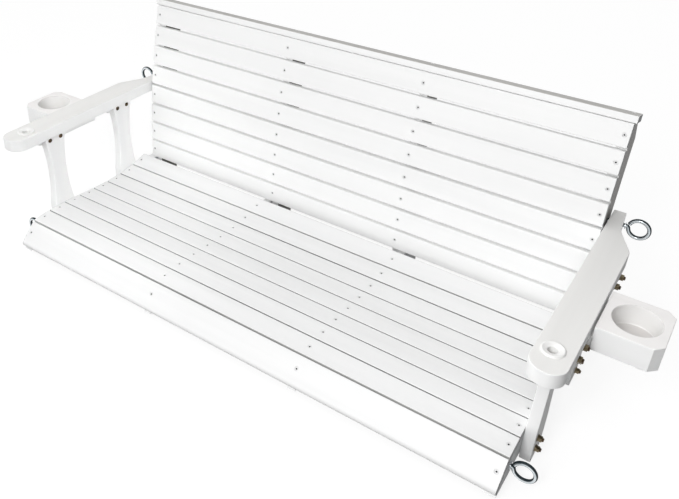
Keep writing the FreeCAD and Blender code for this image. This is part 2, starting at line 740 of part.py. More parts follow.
def build_joint_bolts(nut, washer):
    """Bolts through rails and uprights, heads outside; returns their holes."""
    y = value("dim.back_y + dim.joint_bolt_past")
    upper = value("dim.seat_height - dim.joint_bolt_drop")
    heights = (upper, upper - value("dim.joint_bolt_spacing"))
    joints = (("end_joint", "dim.post_face", "dim.end_upright_inner"),
              ("inner_joint", "(dim.inner_rail_place + dim.inner_rail_width / 2)",
               "(dim.inner_upright_place - dim.inner_upright_width / 2)"))
    bolts, holes, nut_spots, washer_spots = [], [], [], []
    for name, outer, inner in joints:
        bolt, hole = bolt_and_hole(name + "_bolt", f"({outer} - {inner})")
        doc.recompute()
        places = [(side, y, z) for side, word in SIDES for z in heights]
        spots = [outward(side, value(outer), y, z) for side, y, z in places]
        bolts.append(copies(name + "_bolts", bolt, spots))
        holes.append(copies(name + "_holes", hole, spots))
        washer_spots += [inward(side, value(inner), y, z) for side, y, z in places]
        nut_spots += [inward(side, value(f"{inner} - dim.washer_thickness"), y, z) for side, y, z in places]
    keep(fuse("joint_bolt_pairs", bolts), "back_joint_bolts")
    keep(copies("joint_nut_group", nut, nut_spots), "back_joint_nuts")
    keep(copies("joint_washer_group", washer, washer_spots), "back_joint_washers")
    return holes


def build_frame(seat_holes, back_holes, joint_holes, side_holes):
    """Rails under the seat and uprights behind the back."""
    rail_holes = fuse("rail_holes", seat_holes + joint_holes + side_holes)
    upright_holes = fuse("upright_holes", back_holes + joint_holes + side_holes)
    for side, word in SIDES:
        blank = seat_rail(f"end_rail_{word}_blank", f"{side} * dim.end_rail_place", "dim.end_rail_width")
        keep(cut(f"end_rail_{word}", blank, rail_holes), f"seat_rail_end_{word}")
        blank = seat_rail(f"inner_rail_{word}_blank", f"{side} * dim.inner_rail_place", "dim.inner_rail_width")
        keep(cut(f"inner_rail_{word}", blank, rail_holes), f"seat_rail_inner_{word}")

        blank = upright(f"end_upright_{word}_blank", f"{side} * dim.end_upright_place", "dim.end_upright_width")
        notch = box(f"foot_notch_{word}", side, "dim.rail_inner", "dim.end_rail_width",
                    "dim.upright_depth + 2 * dim.cut_past",
                    f"dim.under_z_{SEAT_SLATS} + dim.foot_gap - dim.rail_under + dim.cut_past",
                    y="dim.back_y + dim.slat_thickness - dim.cut_past", z="dim.rail_under - dim.cut_past")
        keep(cut(f"end_upright_{word}", cut(f"end_upright_{word}_notched", blank, notch), upright_holes),
             f"back_upright_end_{word}")
        blank = upright(f"inner_upright_{word}_blank", f"{side} * dim.inner_upright_place",
                        "dim.inner_upright_width")
        keep(cut(f"inner_upright_{word}", blank, upright_holes), f"back_upright_inner_{word}")


def bolt_group(name, grip, spots, head_face, nut_face, nut, washer):
    """Bolts with their heads inside and their nuts outside; returns their holes."""
    bolt, hole = bolt_and_hole(name + "_bolt", grip)
    doc.recompute()
    heads = [inward(side, value(head_face), y, z) for side, y, z in spots]
    seats = [outward(side, value(nut_face), y, z) for side, y, z in spots]
    nut_seats = [outward(side, value(f"{nut_face} + dim.washer_thickness"), y, z) for side, y, z in spots]
    keep(copies(name + "_bolt_group", bolt, heads), name + "_bolts")
    keep(copies(name + "_washer_group", washer, seats), name + "_washers")
    keep(copies(name + "_nut_group", nut, nut_seats), name + "_nuts")
    return copies(name + "_bolt_holes", hole, heads)


def build_post_bolts(nut, washer):
    """Bolts through post and block at the top, and through rail and post below."""
    upper_z = value("dim.arm_under - dim.post_bolt_drop")
    upper, lower = [], []
    for side, word in SIDES:
        for end in ("front", "rear"):
            middle = value(f"dim.{end}_post_y")
            upper += [(side, y, upper_z) for y in pair(middle, value("dim.post_bolt_spacing"))]
            y, z = value(f"dim.{end}_low_bolt_y"), value(f"dim.{end}_low_bolt_z")
            lower += [(side, y, z), (side, y, z - value("dim.low_bolt_spacing"))]
    upper_holes = bolt_group("post_upper", "(dim.post_thickness + dim.block_depth)", upper,
                             "dim.post_face", "dim.block_outer", nut, washer)
    lower_holes = bolt_group("post_lower", "(dim.end_rail_width + dim.post_thickness)", lower,
                             "dim.rail_inner", "dim.block_face", nut, washer)
    return upper_holes, lower_holes


def build_arm_screws():
    """Screws driven up through the blocks and the cup holders into the arms."""
    screw, drill = screw_and_hole("arm_screw", "dim.long_screw_length")
    doc.recompute()
    block_x = value("dim.block_outer - dim.block_screw_inset")
    block_z = value("dim.arm_under - dim.block_height")
    cup_x = value("dim.cup_inner + dim.cup_screw_inset")
    cup_z = value("dim.cup_top - dim.cup_height")
    cup_places = pair(value("dim.cup_y"), value("dim.cup_screw_spacing"))
    block_places = []
    for middle in (value("dim.front_post_y"), value("dim.rear_post_y")):
        block_places += pair(middle, value("dim.block_screw_spacing"))
    block_spots = [upward(side, block_x, y, block_z) for side, word in SIDES for y in block_places]
    cup_spots = [upward(side, cup_x, y, cup_z) for side, word in SIDES for y in cup_places]
    keep(copies("block_screw_group", screw, block_spots), "arm_block_screws")
    keep(copies("cup_screw_group", screw, cup_spots), "cup_holder_screws")
    return copies("arm_screw_holes", drill, block_spots + cup_spots)


def build_eyes(nut, washer):
    holes, nut_spots, washer_spots = [], [], []
    for side, word in SIDES:
        for end in ("front", "rear"):
            face, grip = f"dim.eye_{end}_face", f"dim.eye_{end}_grip"
            y_text, z_text = f"dim.eye_{end}_y", f"dim.eye_{end}_z"
            eye, hole = eye_bolt(f"eye_{end}_{word}", side, face, grip, y_text, z_text)
            keep(eye, f"eye_bolt_{end}_{word}")
            holes.append(hole)
            y, z = value(y_text), value(z_text)
            inside = value(f"{face} - {grip}")
            washer_spots += [outward(side, value(face), y, z), inward(side, inside, y, z)]
            nut_spots.append(inward(side, inside - value("dim.washer_thickness"), y, z))
    keep(copies("eye_nut_group", nut, nut_spots), "eye_bolt_nuts")
    keep(copies("eye_washer_group", washer, washer_spots), "eye_bolt_washers")
    return fuse("eye_holes", holes)


def build_arms(post_holes, screw_holes, eye_holes):
    """Arms with their posts, blocks, cup holders and bushings."""
    for side, word in SIDES:
        bushing_hole = cylinder(f"bushing_hole_{word}", "dim.bushing_barrel_radius",
                                "dim.arm_thickness + 2 * dim.cut_past",
                                x=f"{side} * (dim.arm_inner + dim.bushing_inset)",
                                y="dim.seam_y + dim.bushing_setback", z="dim.arm_under - dim.cut_past")
        arm_holes = fuse(f"arm_holes_{word}", [screw_holes, eye_holes, bushing_hole])
        keep(cut(f"arm_{word}", arm(f"arm_{word}_blank", side), arm_holes), f"arm_{word}")
        for end in ("front", "rear"):
            middle = f"dim.{end}_post_y"
            blank = post(f"post_{end}_{word}_blank", side, middle)
            keep(cut(f"post_{end}_{word}", blank, fuse(f"post_holes_{end}_{word}", post_holes)),
                 f"arm_post_{end}_{word}")
            blank = post_block(f"block_{end}_{word}_blank", side, middle)
            block_holes = fuse(f"block_holes_{end}_{word}", [post_holes[0], screw_holes])
            keep(cut(f"block_{end}_{word}", blank, block_holes), f"arm_block_{end}_{word}")
        keep(cut(f"cup_holder_{word}_drilled", cup_holder(f"cup_holder_{word}_form", side), screw_holes),
             f"cup_holder_{word}")
        keep(bushing(f"bushing_{word}", side), f"chain_bushing_{word}")


def check_and_write():
    doc.recompute()
    for item in doc.Objects:
        if "Invalid" in item.State or "Error" in item.State:
            raise RuntimeError(f"{item.Label} did not build: {item.State}")
    os.makedirs("parts", exist_ok=True)
    for item in nodes:
        shape = item.Shape
        if shape.isNull() or not shape.isValid():
            raise RuntimeError(f"{item.Label} has no valid shape")
        shape.exportStep(os.path.join("parts", item.Label + ".step"))


write_sizes()
plain_nut, plain_washer = nut_and_washer()
rail_screw_holes, upright_screw_holes = build_seat_and_back()
upper_bolt_holes, lower_bolt_holes = build_post_bolts(plain_nut, plain_washer)
arm_screw_holes = build_arm_screws()
eye_bolt_holes = build_eyes(plain_nut, plain_washer)
frame_joint_holes = build_joint_bolts(plain_nut, plain_washer)
build_arms([upper_bolt_holes, lower_bolt_holes], arm_screw_holes, eye_bolt_holes)
build_frame(rail_screw_holes, upright_screw_holes, frame_joint_holes, [lower_bolt_holes, eye_bolt_holes])
check_and_write()
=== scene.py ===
import math

import bpy
import bmesh
import numpy as np
from mathutils import Matrix, Vector


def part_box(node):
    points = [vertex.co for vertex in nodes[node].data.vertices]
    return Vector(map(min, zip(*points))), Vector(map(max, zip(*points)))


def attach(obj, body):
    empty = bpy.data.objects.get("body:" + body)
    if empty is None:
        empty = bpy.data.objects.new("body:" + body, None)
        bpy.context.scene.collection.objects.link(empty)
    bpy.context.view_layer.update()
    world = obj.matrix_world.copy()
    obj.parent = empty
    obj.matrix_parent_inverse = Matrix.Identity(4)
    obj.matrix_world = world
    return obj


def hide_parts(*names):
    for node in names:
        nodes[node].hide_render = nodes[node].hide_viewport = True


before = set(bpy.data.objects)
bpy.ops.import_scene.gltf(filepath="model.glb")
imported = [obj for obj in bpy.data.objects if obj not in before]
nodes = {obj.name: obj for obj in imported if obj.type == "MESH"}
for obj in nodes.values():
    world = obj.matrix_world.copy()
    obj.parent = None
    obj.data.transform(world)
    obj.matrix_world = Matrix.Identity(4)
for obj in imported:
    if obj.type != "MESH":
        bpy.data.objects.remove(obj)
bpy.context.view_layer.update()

# Looks of the hanging bench seat: painted boards, zinc eyes and fasteners, soft studio light.
# Metres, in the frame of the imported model.

# Camera, solved from the photograph. Its place is given from the seam behind the nose board.
PHOTO_WIDTH, PHOTO_HEIGHT = 679, 499
FOCAL_PIXELS = 751.98
CENTRE_COLUMN, CENTRE_ROW = 268.21, 181.26
FRONT_SEAM = Vector((0, -0.2491, 0.074))
CAMERA_FROM_SEAM = Vector((0.7712, -0.92483, 1.0452))
CAMERA_DOWN, CAMERA_AZIMUTH, CAMERA_ROLL = 30.875, 35.646, 0.246
SENSOR_WIDTH, CLIP_START = 36, 0.02


# shader building

def give(tree, socket, value):
    """Links a socket to another one, or sets its plain value."""
    if isinstance(value, bpy.types.NodeSocket):
        tree.links.new(value, socket)
    else:
        socket.default_value = value


def added(tree, kind, **inputs):
    """New node with some inputs set, a blank in an input's name written as an underscore."""
    item = tree.nodes.new(kind)
    for name, value in inputs.items():
        give(tree, item.inputs[name.replace("_", " ")], value)
    return item


def calculated(tree, operation, *values):
    """Result of a math node."""
    item = tree.nodes.new("ShaderNodeMath")
    item.operation = operation
    for socket, value in zip(item.inputs, values):
        give(tree, socket, value)
    return item.outputs[0]


def enabled(sockets, name):
    """The socket of that name which a mix node uses for its kind of data."""
    return [socket for socket in sockets if socket.name == name and socket.enabled][0]


class Shader:
    """Short ways to build one material."""

    def __init__(self, name):
        self.material = bpy.data.materials.new(name)
        self.material.use_nodes = True
        self.tree = self.material.node_tree
        self.bsdf = self.tree.nodes["Principled BSDF"]

    def node(self, kind, **inputs):
        """New node of this material, see added."""
        return added(self.tree, kind, **inputs)

    def surface(self, **inputs):
        """Sets inputs of the surface shader, named as in added, and gives back the material."""
        for name, value in inputs.items():
            give(self.tree, self.bsdf.inputs[name.replace("_", " ")], value)
        return self.material

    def coordinates(self, stretch=(1, 1, 1)):
        """Place in the object, scaled along its axes."""
        place = self.node("ShaderNodeTexCoord").outputs["Object"]
        return self.node("ShaderNodeMapping", Vector=place, Scale=stretch).outputs["Vector"]

    def facing(self, axis):
        """How far a face looks along an axis of the object."""
        parts = self.node("ShaderNodeSeparateXYZ")
        give(self.tree, parts.inputs[0], self.node("ShaderNodeTexCoord").outputs["Normal"])
        return parts.outputs[axis]

    def facing_either_way(self, axis):
        """The same without its sign."""
        return calculated(self.tree, "ABSOLUTE", self.facing(axis))

    def noise(self, vector, scale, detail, rough):
        """Noise pattern from 0 to 1."""
        item = self.node("ShaderNodeTexNoise", Vector=vector, Scale=scale, Detail=detail,
                         Roughness=rough)
        return item.outputs["Fac"]

    def ramp(self, factor, stops):
        """Colour from pairs of position and colour."""
        item = self.node("ShaderNodeValToRGB", Fac=factor)
        for element, (position, colour) in zip(item.color_ramp.elements, stops):
            element.position = position
            element.color = (*colour, 1)
        return item.outputs["Color"]

    def spread(self, factor, low, high, start=0.3, end=0.7):
        """Value from low to high while the factor runs from start to end."""
        item = self.node("ShaderNodeMapRange", Value=factor, From_Min=start, From_Max=end,
                         To_Min=low, To_Max=high)
        return item.outputs["Result"]

    def mix_colour(self, factor, first, second):
        """First colour where the factor is 0, second where it is 1."""
        item = self.node("ShaderNodeMix")
        item.data_type = "RGBA"
        give(self.tree, enabled(item.inputs, "Factor"), factor)
        for name, colour in (("A", first), ("B", second)):
            value = (*colour, 1) if isinstance(colour, tuple) else colour
            give(self.tree, enabled(item.inputs, name), value)
        return enabled(item.outputs, "Result")

    def bump(self, height, distance, strength, before=None):
        """Bumps of a height pattern, on top of those before."""
        item = self.node("ShaderNodeBump", Height=height, Distance=distance, Strength=strength)
        if before is not None:
            give(self.tree, item.inputs["Normal"], before)
        return item.outputs["Normal"]


def darker(colour, share):
    """A share of a colour."""
    return tuple(share * c for c in colour)


def painted_wood(name, along, light, dark, grain_depth=0.0002, top=None, top_from=0.75, side=None):
    """Paint over wood whose grain runs along one axis.

    top and side are painted shade: darker tones of faces that look up or aside, the first from a
    share top_from.
    """
    shader = Shader(name)
    grain_way = shader.coordinates([0.05 if axis == along else 1.0 for axis in "XYZ"])
    plain_way = shader.coordinates()
    grain = shader.noise(grain_way, scale=190, detail=5, rough=0.6)
    growth = shader.noise(grain_way, scale=34, detail=3, rough=0.5)
    clouds = shader.noise(plain_way, scale=7, detail=3, rough=0.5)
    speckle = shader.noise(plain_way, scale=900, detail=2, rough=0.5)
    tone = shader.ramp(growth, [(0.32, dark), (0.62, light)])
    colour = shader.mix_colour(shader.spread(clouds, low=0, high=0.5), tone, light)
    if top:
        # painted shade on the faces that look up
        shaded_top = shader.ramp(growth, [(0.3, darker(top, 0.96)), (0.6, top)])
        upward = shader.spread(shader.facing("Z"), low=0, high=1, start=top_from,
                               end=top_from + 0.12)
        colour = shader.mix_colour(upward, colour, shaded_top)
    if side:
        # painted shade on the faces that look along X, either way
        shaded_side = shader.ramp(growth, [(0.3, darker(side, 0.6)), (0.6, side)])
        sideways = shader.spread(shader.facing_either_way("X"), low=0, high=1, start=0.6, end=0.8)
        colour = shader.mix_colour(sideways, colour, shaded_side)
    normal = shader.bump(grain, distance=grain_depth, strength=0.8)
    normal = shader.bump(growth, distance=grain_depth * 1.6, strength=0.6, before=normal)
    normal = shader.bump(speckle, distance=0.00003, strength=0.5, before=normal)
    return shader.surface(Base_Color=colour, Roughness=shader.spread(clouds, low=0.44, high=0.58),
                          Normal=normal)


def end_grain(name, light, dark):
    """Sawn board end: growth rings and open pores, its grey tones darkened as painted shade."""
    shader = Shader(name)
    rings = shader.noise(shader.coordinates((1, 0.35, 1)), scale=420, detail=4, rough=0.6)
    pores = shader.noise(shader.coordinates(), scale=1600, detail=2, rough=0.6)
    normal = shader.bump(rings, distance=0.0003, strength=0.8)
    return shader.surface(Base_Color=shader.ramp(rings, [(0.35, dark), (0.6, light)]),
                          Roughness=shader.spread(rings, low=0.6, high=0.8),
                          Normal=shader.bump(pores, distance=0.00008, strength=0.6, before=normal))


def metal(name, light, dark, smooth, dull, rim=None):
    """Plated steel; rim is a painted dark reflection: a near black, not metallic tone on a bent
    wire's inner and outer sides.
    """
    shader = Shader(name)
    way = shader.coordinates()
    cloud = shader.noise(way, scale=60, detail=4, rough=0.6)
    fine = shader.noise(way, scale=700, detail=3, rough=0.6)
    colour = shader.ramp(cloud, [(0.35, dark), (0.62, light)])
    metallic = 1.0
    if rim:
        metallic = shader.spread(shader.facing_either_way("Y"), low=0, high=1, start=0.78, end=0.92)
        colour = shader.mix_colour(metallic, rim, colour)
        shader.surface(Specular_IOR_Level=0.1)
    return shader.surface(Base_Color=colour, Metallic=metallic,
                          Roughness=shader.spread(cloud, low=smooth, high=dull),
                          Normal=shader.bump(fine, distance=0.00004, strength=0.6))


def plastic(name, light, dark):
    """Moulded plastic with a faintly uneven skin."""
    shader = Shader(name)
    way = shader.coordinates()
    cloud = shader.noise(way, scale=25, detail=3, rough=0.5)
    fine = shader.noise(way, scale=1500, detail=2, rough=0.5)
    return shader.surface(Base_Color=shader.ramp(cloud, [(0.35, dark), (0.65, light)]),
                          Roughness=shader.spread(cloud, low=0.32, high=0.42),
                          Normal=shader.bump(fine, distance=0.00002, strength=0.5))


def dress(piece, material):
    """Gives a piece one material."""
    piece.data.materials.clear()
    piece.data.materials.append(material)


# materials: each with its light and its dark tone

SEAT_TONES = (0.85, 0.852, 0.852), (0.80, 0.802, 0.802)
# painted light: BOARD_TONES is the seat's white paint made lighter for the boards that face the
# light
BOARD_TONES = (0.93, 0.932, 0.93), (0.89, 0.892, 0.89)
BLOCK_GRAIN, SCREW_GRAIN = 0.00025, 0.00005

slat_paint = painted_wood("slat_paint", "X", *SEAT_TONES)
# painted shade: near black sides in the seams between seat slats, a little lighter on the two end
# slats
seam_shade_paint = painted_wood("slat_seam_painted_shade", "X", (0.28, 0.28, 0.275), (0.17, 0.17, 0.17))
first_seam_shade_paint = painted_wood("first_seam_shade_paint", "X", (0.50, 0.50, 0.49), (0.38, 0.38, 0.37))
# painted shade: the board ends are grey as well as grained
slat_ends = end_grain("slat_end_grain", (0.62, 0.625, 0.63), (0.46, 0.47, 0.48))
back_paint = painted_wood("back_slat_paint", "X", *BOARD_TONES)
# painted shade: a thin grey line along the upper front edge of each back slat
back_edge_shade_paint = painted_wood("back_edge_shade_paint", "X", (0.86, 0.86, 0.855), (0.78, 0.78, 0.77))
# painted shade: the cap rail's upward face much darker than its front
cap_paint = painted_wood("cap_paint", "X", *BOARD_TONES, top=(0.46, 0.45, 0.43), top_from=0.6)
# painted shade: the uprights' sides near black
upright_paint = painted_wood("upright_paint", "Z", *BOARD_TONES, side=(0.12, 0.11, 0.10))
# painted shade: the rails' outer sides darker
rail_paint = painted_wood("rail_paint", "Y", *SEAT_TONES, side=(0.70, 0.71, 0.72))
# painted shade: the arms' tops darker than their sides
arm_paint = painted_wood("arm_paint", "Y", *BOARD_TONES, top=(0.80, 0.795, 0.78))
post_paint = painted_wood("post_paint", "Z", *BOARD_TONES)
# painted shade: the block's top darker than its sides
block_paint = painted_wood("block_paint", "X", *BOARD_TONES, BLOCK_GRAIN, top=(0.88, 0.865, 0.855))
# painted shade: the well's walls darker than the block and its floor darker still
well_shade_paint = painted_wood("well_shade_paint", "X", (0.84, 0.835, 0.825), (0.79, 0.78, 0.77), BLOCK_GRAIN,
                          top=(0.68, 0.66, 0.645))
screw_paint = painted_wood("screw_head_paint", "X", (0.80, 0.80, 0.80), (0.70, 0.70, 0.70),
                           SCREW_GRAIN)
zinc = metal("bright_zinc", (0.74, 0.77, 0.79), (0.55, 0.59, 0.62), smooth=0.18, dull=0.32)
# painted dark reflection: the wire's inner and outer sides near black
wire_zinc = metal("wire_zinc", (0.74, 0.78, 0.80), (0.52, 0.57, 0.60), smooth=0.18,
                  dull=0.32, rim=(0.02, 0.03, 0.035))
brass_zinc = metal("yellow_zinc", (0.24, 0.20, 0.13), (0.05, 0.04, 0.025), smooth=0.25,
                   dull=0.45)
bolt_bronze = metal("bolt_bronze", (0.12, 0.08, 0.05), (0.04, 0.028, 0.02), smooth=0.35,
                    dull=0.5)
screw_metal = metal("screw_steel", (0.50, 0.49, 0.47), (0.36, 0.35, 0.34), smooth=0.35,
                    dull=0.5)
# painted shade: the recess in each screw head near black
recess_shade = metal("screw_recess_painted_shade", (0.06, 0.06, 0.065), (0.02, 0.02, 0.02), smooth=0.5,
                    dull=0.7)
bushing_plastic = plastic("bushing_plastic", (0.85, 0.848, 0.835), (0.81, 0.808, 0.795))


# sizes of the detail, in metres

END_EASE = 0.0008
SLAT_FRONT_EASE, SLAT_REAR_EASE = 0.0014, 0.0012
FIRST_SLAT_EASE, BACK_REAR_EASE = 0.005, 0.0045
ARM_EASE, POST_EASE, CUP_EASE = 0.0012, 0.0016, 0.0010
WELL_DEPTH, WELL_FILLET = 0.040, 0.003
TONGUE_EASE, TONGUE_GAP = 0.0006, 0.0001

THREAD_PITCH, THREAD_CHAMFER = 0.00125, 0.001
BOLT_RADIUS, BOLT_HEAD_RADIUS, BOLT_HEAD_HEIGHT, BOLT_THREAD = 0.004, 0.0056, 0.0032, 0.012
# radius and height of the domed head, from its crown
BOLT_HEAD = [(0.0008, 0), (0.0024, 0.0003), (0.0040, 0.0011), (0.0050, 0.0020),
             (BOLT_HEAD_RADIUS, 0.0030), (BOLT_HEAD_RADIUS, BOLT_HEAD_HEIGHT)]
NUT_RADIUS, NUT_BORE_CHAMFER = 0.0063, 0.0005
WASHER_RADIUS, WASHER_EASE, WASHER_PLAY = 0.0069, 0.0003, 0.0002

SCREW_RADIUS, SCREW_HEAD_RADIUS, SCREW_HEAD_HEIGHT = 0.0022, 0.0040, 0.0026
# how far the head's rim is drawn in, and its level below the top
SCREW_RIM = [(0, -0.0003), (0.0002, -0.0001), (0.0006, 0)]
SCREW_POINT_RADIUS, SCREW_POINT_LENGTH = 0.0003, 0.004
RECESS_RADIUS, RECESS_DEPTH = 0.0020, 0.0018
# the countersunk mouth: how far its cutter reaches into the board and above it
MOUTH_RADIUS, MOUTH_DEPTH, MOUTH_ABOVE = 0.0043, 0.0030, 0.0040

# outer radius of the loop, radius of the bend at its neck, and where the free end stops
EYE_RADIUS, EYE_BEND, EYE_END_DEGREES = 0.023, 0.0042, 161
# the wire, and its blunt tip: its length, and its radius as a share of the wire's
WIRE_RADIUS, WIRE_TIP_LENGTH, WIRE_TIP_SHARE = 0.0039, 0.0008, 0.78
EYE_THREAD, EYE_THREAD_OVERLAP = 0.014, 0.0005

BUSHING_BORE, BUSHING_BARREL, BUSHING_BARREL_EASE = 0.0080, 0.0119, 0.0005
BUSHING_FLANGE_HEIGHT = 0.0032
# radius and height on the arm, from the flange's foot over its rim down into the dish and the bore
BUSHING_FLANGE = [(0.0192, 0.00005), (0.0194, 0.0004), (0.0194, 0.0013), (0.0190, 0.0021),
                  (0.0182, 0.0028), (0.0174, BUSHING_FLANGE_HEIGHT),
                  (0.0164, BUSHING_FLANGE_HEIGHT), (0.0156, 0.0029), (0.0135, 0.0021),
                  (0.0110, 0.0014), (0.0094, 0.0009), (0.0085, 0.0002), (BUSHING_BORE, -0.0008)]

# faces round each turned piece, and along the parts of the bent wire
THREAD_STEPS, SCREW_STEPS, WIRE_STEPS, BOLT_STEPS = 20, 24, 24, 32
WASHER_STEPS, NUT_STEPS, BUSHING_STEPS = 40, 48, 96
WIRE_BEND_STEPS, WIRE_LOOP_STEPS = 6, 60

# places in a piece's list of materials
FACE, EDGE, END = 0, 1, 2
WELL = 1
HEAD, RECESS, SHANK = 0, 1, 2


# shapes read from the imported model

# the axis that a section is cut across, and the two that lie in it
AXES = {"X": (0, 1, 2), "Z": (2, 0, 1)}
SAME_PLACE_DIGITS = 6
SAME_LEVEL = 1e-5


def sides(loop):
    """Pairs of neighbours round a loop."""
    return list(zip(loop, loop[1:] + loop[:1]))


def corners(loop):
    """Each point of a loop between its neighbours."""
    return list(zip(loop[-1:] + loop[:-1], loop, loop[1:] + loop[:1]))


def merged(name):
    """Corners of a node by place, and its faces as numbers of those corners."""
    mesh = nodes[name].data
    places, numbers = {}, []
    for vertex in mesh.vertices:
        key = tuple(round(c, SAME_PLACE_DIGITS) for c in vertex.co)
        numbers.append(places.setdefault(key, len(places)))
    return list(places), [[numbers[i] for i in face.vertices] for face in mesh.polygons]


def solids_of(name):
    """Corners of each separate solid of a node."""
    places, faces = merged(name)
    parent = list(range(len(places)))

    def top(i):
        while parent[i] != i:
            parent[i] = parent[parent[i]]
            i = parent[i]
        return i

    for face in faces:
        for i in face[1:]:
            parent[top(i)] = top(face[0])
    groups = {}
    for i, place in enumerate(places):
        groups.setdefault(top(i), []).append(place)
    return [np.array(group) for group in groups.values()]


def outlines(name, axis, upper=True):
    """Outlines of the flat face that ends a node along an axis, the longest first.

    The wood lies on their left.
    """
    along, across, up = AXES[axis]
    sign = 1 if upper else -1
    places, faces = merged(name)
    level = max(sign * place[along] for place in places)
    ways = set()
    for face in faces:
        if all(sign * places[i][along] > level - SAME_LEVEL for i in face):
            for a, b in sides(face):
                if (b, a) in ways:
                    ways.remove((b, a))
                else:
                    ways.add((a, b))
    after = dict(ways)
    loops = []
    while after:
        loop, here = [], min(after)
        while here in after:
            loop.append(Vector((places[here][across], places[here][up])))
            here = after.pop(here)
        loops.append(loop if upper else loop[::-1])
    return sorted(loops, key=lambda loop: -sum((a - b).length for a, b in sides(loop)))


def reach_of(name, axis):
    """Lowest and highest place of a node along an axis."""
    low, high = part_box(name)
    return low["XYZ".index(axis)], high["XYZ".index(axis)]


# shapes built in a section

# faces along a corner's arc, along a rounded edge, and along the edge of a long board's end
CORNER_STEPS, EASE_STEPS, END_STEPS = 3, 3, 2
# the smallest turn that counts as a corner, in radians, and how much of a side an arc may take
SMALLEST_CORNER, LONGEST_ARC_SHARE = 0.5, 0.45
# turns along the fillet between a well's wall and its floor
FILLET_TURNS = (0, 0.4, 0.8, 1.2, math.pi / 2)
# faces that meet at more than this angle keep a sharp edge
SHARP_DEGREES = 42


def left_of(way):
    """Unit vector square to a way, on its left."""
    return Vector((-way.y, way.x)).normalized()


def moved_in(loop, inset):
    """Loop moved into the wood."""
    result = []
    for before, here, after in corners(loop):
        first, second = left_of(here - before), left_of(after - here)
        result.append(here + (first + second) * (inset / (1 + first.dot(second))))
    return result


def eased_corners(loop, radius_at):
    """Loop with arcs at its corners, of the radius that a function gives for each."""
    points = []
    for before, here, after in corners(loop):
        back, ahead = before - here, after - here
        turn = math.pi - back.angle(ahead)
        if turn < SMALLEST_CORNER:
            points.append(here)
            continue
        reach = min(radius_at(here) * math.tan(turn / 2),
                    LONGEST_ARC_SHARE * back.length, LONGEST_ARC_SHARE * ahead.length)
        radius = reach / math.tan(turn / 2)
        back.normalize()
        ahead.normalize()
        centre = here + (back + ahead).normalized() * (radius / math.cos(turn / 2))
        spoke = here + back * reach - centre
        last = here + ahead * reach - centre
        angle = math.atan2(spoke.x * last.y - spoke.y * last.x, spoke.dot(last))
        for k in range(CORNER_STEPS + 1):
            points.append(centre + Matrix.Rotation(angle * k / CORNER_STEPS, 2) @ spoke)
    return points


def in_space(axis, level, point):
    """Place of a section's point at a level along the axis."""
    along, across, up = AXES[axis]
    place = [0.0, 0.0, 0.0]
    place[along], place[across], place[up] = level, point.x, point.y
    return place


def band(bm, lower, upper, finish=FACE, marks=None):
    """Strip of faces between two rings; the marked ones take the edge finish, a painted shade."""
    for i in range(len(lower)):
        j = (i + 1) % len(lower)
        face = bm.faces.new((lower[i], lower[j], upper[j], upper[i]))
        face.material_index = EDGE if marks and marks[i] else finish


def cover(bm, rings, finish=FACE):
    """Flat face inside the first ring and outside the others."""
    if len(rings) == 1:
        bm.faces.new(rings[0]).material_index = finish
        return
    edges = [bm.edges.get(pair) for ring in rings for pair in sides(ring)]
    made = bmesh.ops.triangle_fill(bm, use_beauty=True, use_dissolve=False, edges=edges)
    for item in made["geom"]:
        if isinstance(item, bmesh.types.BMFace):
            item.material_index = finish


def rounding(ease, steps):
    """Depth and inset along a rounded edge, from the face to the side."""
    angles = [math.pi / 2 * k / steps for k in range(steps + 1)]
    return [(ease * (1 - math.cos(a)), ease * (1 - math.sin(a))) for a in angles]


def stacked(bm, axis, loop, levels):
    """Rings of a loop at pairs of level and inset."""
    return [[bm.verts.new(in_space(axis, level, point)) for point in moved_in(loop, inset)]
            for level, inset in levels]


def plate(bm, axis, low, high, loops, ease, steps=EASE_STEPS, marks=None, edge=FACE, end=FACE,
          wells=()):
    """Board of even thickness with rounded edges, its loops the outline and any holes.

    A well is a loop with the level of its floor. Marked sides take the edge finish, a painted
    shade.
    """
    curve = rounding(ease, steps)
    levels = [(low + depth, inset) for depth, inset in curve]
    levels += [(high - depth, inset) for depth, inset in reversed(curve)]
    floor_rings, top_rings = [], []
    for loop in loops:
        rings = stacked(bm, axis, loop, levels)
        for k, (lower, upper) in enumerate(zip(rings, rings[1:])):
            band(bm, lower, upper, FACE if k == steps else edge, marks)
        floor_rings.append(rings[0])
        top_rings.append(rings[-1])
    for loop, bottom in wells:
        levels = [(high - depth, inset) for depth, inset in curve]
        levels += [(bottom + WELL_FILLET - WELL_FILLET * math.sin(a),
                    WELL_FILLET * (math.cos(a) - 1)) for a in FILLET_TURNS]
        rings = stacked(bm, axis, loop, levels)
        for upper, lower in zip(rings, rings[1:]):
            band(bm, lower, upper, WELL)
        top_rings.append(rings[0])
        cover(bm, [rings[-1]], WELL)
    cover(bm, floor_rings, end)
    cover(bm, top_rings, end)


# pieces

def mesh_object(name, bm, materials):
    """Object of a finished mesh, its faces turned outward."""
    bmesh.ops.recalc_face_normals(bm, faces=bm.faces)
    mesh = bpy.data.meshes.new(name)
    bm.to_mesh(mesh)
    bm.free()
    for material in materials:
        mesh.materials.append(material)
    piece = bpy.data.objects.new(name, mesh)
    bpy.context.scene.collection.objects.link(piece)
    return piece


